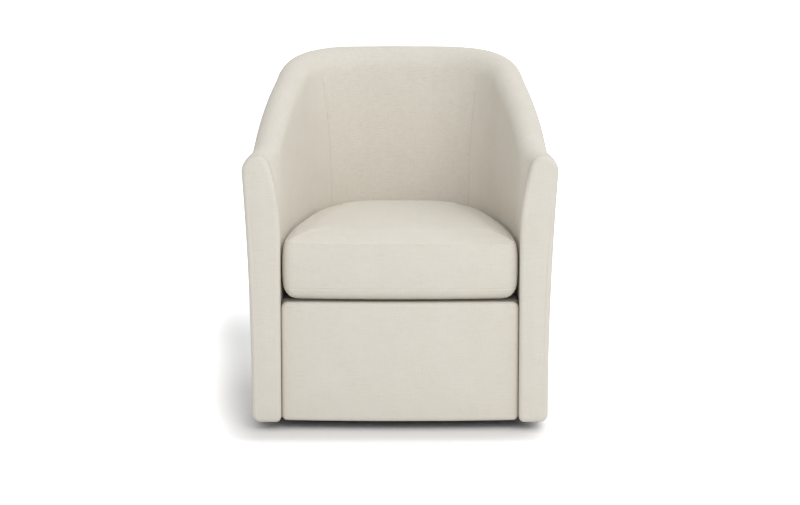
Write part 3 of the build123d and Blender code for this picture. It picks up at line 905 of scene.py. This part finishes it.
class Ring:
    """Closed outline of a cushion or deck, which can be drawn in evenly."""

    def __init__(self, half, columns, rows):
        right = resample(half, ring_marks(half, columns, rows))
        self.columns = columns
        self.rows = rows
        self.points = np.concatenate([right, right[-2:0:-1] * (-1, 1)])
        ahead = np.roll(self.points, -1, axis=0) - np.roll(self.points, 1, axis=0)
        out = np.stack([ahead[:, 1], -ahead[:, 0]], axis=-1)
        self.out = out / np.linalg.norm(out, axis=-1, keepdims=True)
        self.along = passed_along(looped(self.points))
        self.low = self.points.min(0)
        self.high = self.points.max(0)

    def inset(self, amount):
        """The outline drawn in: a little along its directions, and beyond that towards its middle."""
        near = min(amount, near_limit)
        drawn = self.points - self.out * near
        middle = (self.low + self.high) / 2
        half = (self.high - self.low) / 2 - near
        return middle + (drawn - middle) * (1 - (amount - near) / half)

    def fill(self, boundary):
        """Grid inside a closed boundary, blended from its four sides."""
        half = self.columns // 2
        first = half
        second = half + self.rows
        third = second + self.columns
        loop = looped(boundary)
        front = np.concatenate([boundary[-half:], boundary[: half + 1]])
        right = boundary[first : second + 1]
        back = boundary[second : third + 1][::-1]
        left = loop[third : third + self.rows + 1][::-1]
        u = np.linspace(0, 1, self.columns + 1)[None, :, None]
        v = np.linspace(0, 1, self.rows + 1)[:, None, None]
        sides = left[:, None] * (1 - u) + right[:, None] * u
        ends = front[None] * (1 - v) + back[None] * v
        front_line = front[0] * (1 - u) + front[-1] * u
        back_line = back[0] * (1 - u) + back[-1] * u
        return sides + ends - (front_line * (1 - v) + back_line * v)

    def band(self, insets, heights):
        """Closed band through drawn-in outlines at heights, and its weave laid along the outline."""
        plans = [looped(self.inset(inset)) for inset in insets]
        points = np.array([at_height(plan, height) for plan, height in zip(plans, heights)])
        steps = np.linalg.norm(np.diff(points, axis=0), axis=-1).mean(1)
        down = np.concatenate([[0], np.cumsum(steps)])
        weave = np.stack(np.broadcast_arrays(self.along[None, :], down[:, None]), axis=-1)
        return points, weave


def quarter(count):
    """Sines and versines of a quarter turn."""
    angle = np.linspace(0, math.pi / 2, count)
    return np.sin(angle), 1 - np.cos(angle)


def crown_share(inset):
    """Share of the crown's rise at a distance in from the upper seam."""
    return 1 - np.exp(-((np.maximum(inset, 0) / cushion_crown_scale) ** cushion_crown_power))


def crown_height(inset):
    rise = cushion_high.z - cushion_low.z - cushion_seam_high
    return cushion_seam_high + rise * crown_share(inset) / crown_share(cushion_crown_reach)


def side_inset(height):
    """How far the cushion's side is drawn in at heights over its bottom."""
    seam_turn = math.acos(1 - cushion_seam_low / cushion_belly_height)
    turn = np.arccos(np.clip(1 - height / cushion_belly_height, 0, 1))
    belly = cushion_belly_inset * (1 - np.sin(turn))
    half = (cushion_seam_high - cushion_seam_low) / 2
    share = (height - cushion_seam_low) / half - 1
    low_inset = cushion_belly_inset * (1 - math.sin(seam_turn))
    band = np.where(share < 0, low_inset, cushion_shoulder_inset) * np.abs(share) ** 3
    steps = np.linspace(0, cushion_rim, crown_samples)
    over = cushion_shoulder_inset + np.interp(height, crown_height(steps), steps)
    inset = np.select([height < cushion_seam_low, height <= cushion_seam_high], [belly, band], over)
    for seam in (cushion_seam_low, cushion_seam_high):
        inset = inset + cushion_groove * np.exp(-(((height - seam) / cushion_groove_width) ** 2))
    return inset


def cushion_patches(ring):
    """Panels of the cushion: bottom and belly, band, shoulder and crown."""
    bottom = cushion_low.z
    steps = cushion_groove_steps
    seam_turn = math.acos(1 - (cushion_seam_low - steps[-1]) / cushion_belly_height)
    belly = cushion_belly_height * (1 - np.cos(np.linspace(0, seam_turn, belly_rows)))[:-1]
    belly = np.concatenate([belly, cushion_seam_low - steps[::-1], [cushion_seam_low]])
    low_end = cushion_seam_low + np.concatenate([[0], steps])
    high_end = cushion_seam_high - np.concatenate([steps[::-1], [0]])
    middle = np.linspace(low_end[-1], high_end[0], band_rows)[1:-1]
    band = np.concatenate([low_end, middle, high_end])
    shoulder = cushion_seam_high + np.concatenate([[0], steps])
    band_patch = ring.band(side_inset(band), bottom + band)
    belly_points, _ = ring.band(side_inset(belly), bottom + belly)
    shoulder_points, _ = ring.band(side_inset(shoulder), bottom + shoulder)
    seam_line = looped(ring.inset(cushion_shoulder_inset))

    def crowned(plan):
        return at_height(plan, bottom + crown_height(distance_to(plan, seam_line)))

    insets = np.linspace(side_inset(shoulder[-1:])[0], cushion_rim, crown_rings)[1:]
    rings = [looped(ring.inset(inset)) for inset in insets]
    crown_points = np.concatenate([shoulder_points[-1:], crowned(np.array(rings))])
    top = crowned(ring.fill(ring.inset(cushion_rim)))
    under = at_height(ring.fill(ring.inset(side_inset(belly[:1])[0])), bottom)
    panels = [under, belly_points, shoulder_points, crown_points, top]
    return [band_patch] + [(points, points[..., :2]) for points in panels]


swell_frames = 20
swell_pressure = 4.0
swell_cap = 0.0025
swell_side_cap = 0.002


def spots_of(mesh):
    spots = np.empty(len(mesh.vertices) * 3)
    mesh.vertices.foreach_get("co", spots)
    return spots.reshape(-1, 3)


def swell(piece, held, caps):
    """Lets a cover swell as cloth under pressure, held at some of its points, and keeps the result."""
    scene = bpy.context.scene
    start = spots_of(piece.data)
    group = piece.vertex_groups.new(name="held")
    group.add(np.flatnonzero(held).tolist(), 1.0, "REPLACE")
    cloth = piece.modifiers.new("swell", "CLOTH")
    cloth.settings.vertex_group_mass = group.name
    cloth.settings.use_pressure = True
    cloth.settings.uniform_pressure_force = swell_pressure
    cloth.settings.effector_weights.gravity = 0
    cloth.collision_settings.use_collision = False
    cloth.point_cache.frame_end = swell_frames
    for frame in range(1, swell_frames + 1):
        scene.frame_set(frame)
    swollen = spots_of(piece.evaluated_get(bpy.context.evaluated_depsgraph_get()).data)
    piece.modifiers.remove(cloth)
    piece.vertex_groups.remove(group)
    scene.frame_set(1)
    move = swollen - start
    length = np.maximum(np.linalg.norm(move, axis=-1), 1e-9)
    move *= np.minimum(1, caps / length)[:, None]
    piece.data.vertices.foreach_set("co", (start + move).reshape(-1))
    piece.data.update()


def cushion():
    ring = Ring(
        d_outline(inner, cushion_gap, cushion_setback, cushion_front_bow, cushion_corner),
        cushion_columns,
        cushion_depth_rows,
    )
    piece = joined("seat_cushion", cushion_patches(ring), linen)
    height = spots_of(piece.data)[:, 2] - cushion_low.z
    seam_reach = cushion_groove_steps[2]
    held = height < touch
    for seam in (cushion_seam_low, cushion_seam_high):
        held |= np.abs(height - seam) < seam_reach
    swell(piece, held, np.where(height > cushion_seam_high, swell_cap, swell_side_cap))
    stand_in(piece, ["cushion_cover", "cushion_core"], body="cushion", fill=0.8)


cushion()

# Plain deck under the cushion, in cloth whose dark tone is painted shade for the gaps round the
# cushion
deck_low, deck_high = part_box("seat_deck")
deck_gap = 0.0006
deck_edge_radius = 0.008
deck_edge_rings = 6
deck_columns = 40
deck_rows = 44
box_front_bow = 0.0005
box_corner = 0.004


def seat_deck():
    half = d_outline(inner, deck_gap, front_pad_depth, box_front_bow, box_corner)
    ring = Ring(half, deck_columns, deck_rows)
    across, rise = quarter(deck_edge_rings)
    edge = deck_edge_radius
    side = ring.band(
        np.concatenate([[0, 0], edge * rise[1:]]),
        np.concatenate([[deck_low.z, deck_high.z - edge], deck_high.z - edge + edge * across[1:]]),
    )
    plan = ring.fill(ring.inset(edge))
    under_plan = ring.fill(ring.inset(0.0))
    top = at_height(plan, deck_high.z)
    under = at_height(under_plan, deck_low.z)
    patches = [(top, plan), (under, under_plan), side]
    # The deck's dark cloth is painted shade for the gaps round the cushion
    stand_in(joined("deck_pad", patches, deck_cloth), ["seat_deck"], fill=0.5)


seat_deck()

# Thin cloth under the seat box, stretched round a hole for the swivel base
dust_cover_inset = 0.013
dust_hole_clearance = 0.0145
dust_sag = 0.002
dust_rows = 9
dust_columns = 60


def dust_cover():
    low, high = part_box("dust_cover")
    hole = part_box("base_ring")[1].x + dust_hole_clearance
    half = d_outline(outer, dust_cover_inset, front_pad_depth, box_front_bow, box_corner)
    outline = looped(Ring(half, dust_columns, dust_columns).points)
    reach = np.linalg.norm(outline, axis=-1, keepdims=True)
    edge = outline / reach * hole
    share = np.linspace(0, 1, dust_rows)[:, None, None]
    plan = edge + (outline - edge) * share
    hang = dust_sag * (1 - share[..., 0]) * np.ones(len(outline))
    under = at_height(plan, low.z - hang)
    over = at_height(plan, high.z - hang)
    patches = [(under, plan), (over, plan)]
    for rim in (0, -1):
        patches.append((np.stack([under[rim], over[rim]]), np.stack([plan[rim], plan[rim]])))
    piece = joined("dust_cloth_sheet", patches, dust_cloth)
    stand_in(piece, ["dust_cover"])


dust_cover()

# Studio: pale floor, white surround, two soft lights and the photograph's camera.
# A light has its angle to the right of the front, its angle upward and its level.
camera_distance = 5.911
camera_height = 1.433
camera_pitch = 9.67
camera_lens = 116.8
camera_sensor = 36.0
surround_level = 0.65
lights = {"front_light": (15, 25, 0.37), "back_light": (120, 60, 0.31)}
light_distance = 4.5
light_size = 3.2
shadow_low = (-0.36, -0.42)
shadow_high = (0.24, 0.65)
shadow_lean = 0.1
shadow_reach = 0.22
shadow_reach_back = 1.3
floor_reach = 30.0
floor_tone = 0.85
floor_tone_seen = 0.88


def seen_directly(nodes):
    """1 for rays that show a surface as it is: straight, mirrored or through glass."""
    path = nodes.add("LightPath")
    mirrored = nodes.math("MAXIMUM", path["Is Glossy Ray"], path["Is Transmission Ray"])
    return nodes.math("MAXIMUM", path["Is Camera Ray"], mirrored)


def surround():
    """White to look at, and an even light of its own level on the object."""
    world = bpy.data.worlds.new("surround")
    world.use_nodes = True
    nodes = Nodes.of_tree(world.node_tree)
    level = nodes.span(seen_directly(nodes), 0, 1, surround_level, 1)
    background = world.node_tree.nodes["Background"]
    background.inputs["Color"].default_value = (1, 1, 1, 1)
    world.node_tree.links.new(level, background.inputs["Strength"])
    bpy.context.scene.world = world


def soft_light(name, right, upward, level):
    data = bpy.data.lights.new(name, "AREA")
    data.size = light_size
    data.energy = level * (math.pi * light_distance) ** 2
    made = bpy.data.objects.new(name, data)
    around, rise = math.radians(right), math.radians(upward)
    level_part = math.cos(rise)
    direction = Vector((level_part * math.sin(around), -level_part * math.cos(around), math.sin(rise)))
    made.location = Vector((0, 0, overall_height / 2)) + direction * light_distance
    made.rotation_euler = direction.to_track_quat("Z", "Y").to_euler()
    bpy.context.scene.collection.objects.link(made)


def floor():
    """Pale floor that holds the chair's shadow close by; further out it glows white for the camera,
    which is painted light over the floor and the shadow there.
    """
    corners = [(x * floor_reach, y * floor_reach, 0) for x, y in ((-1, -1), (1, -1), (1, 1), (-1, 1))]
    mesh = bpy.data.meshes.new("floor")
    mesh.from_pydata(corners, [], [(0, 1, 2, 3)])
    made = bpy.data.objects.new("floor", mesh)
    bpy.context.scene.collection.objects.link(made)
    nodes = Nodes("floor", roughness=1.0)
    nodes.surface.inputs["Specular IOR Level"].default_value = 0
    nodes.surface.inputs["Emission Color"].default_value = (1, 1, 1, 1)
    tone = nodes.span(seen_directly(nodes), 0, 1, floor_tone, floor_tone_seen)
    nodes.colour(nodes.add("CombineColor", {0: tone, 1: tone, 2: tone})[0])
    x, y, _ = nodes.add("SeparateXYZ", {0: nodes.add("NewGeometry")["Position"]})
    x = nodes.math("ADD", x, nodes.math("MULTIPLY", y, shadow_lean))
    beside = []
    far_reaches = (shadow_reach, shadow_reach_back)
    for place, low, high, far_reach in zip((x, y), shadow_low, shadow_high, far_reaches):
        below = nodes.math("DIVIDE", nodes.math("SUBTRACT", low, place), shadow_reach)
        above = nodes.math("DIVIDE", nodes.math("SUBTRACT", place, high), far_reach)
        past = nodes.math("MAXIMUM", below, above)
        beside.append(nodes.math("POWER", nodes.math("MAXIMUM", past, 0.0), 2.0))
    away = nodes.math("SQRT", nodes.math("ADD", *beside))
    # Glow for the camera that rises away from the patch: painted light that whitens the floor and
    # hides the chair's shadow beyond it
    glow = nodes.add("MapRange", {"Value": away}, interpolation_type="SMOOTHSTEP")[0]
    glow = nodes.math("MULTIPLY", glow, seen_directly(nodes))
    nodes.tree.links.new(glow, nodes.surface.inputs["Emission Strength"])
    mesh.materials.append(nodes.material)


def camera():
    lens = bpy.data.cameras.new("camera")
    lens.lens = camera_lens
    lens.sensor_width = camera_sensor
    made = bpy.data.objects.new("camera", lens)
    made.location = (0, front_y - camera_distance, camera_height)
    made.rotation_euler = (math.radians(90 - camera_pitch), 0, 0)
    bpy.context.scene.collection.objects.link(made)
    bpy.context.scene.camera = made


bpy.context.scene.view_settings.view_transform = "Standard"
surround()
for name, (right, upward, level) in lights.items():
    soft_light(name, right, upward, level)
floor()
camera()
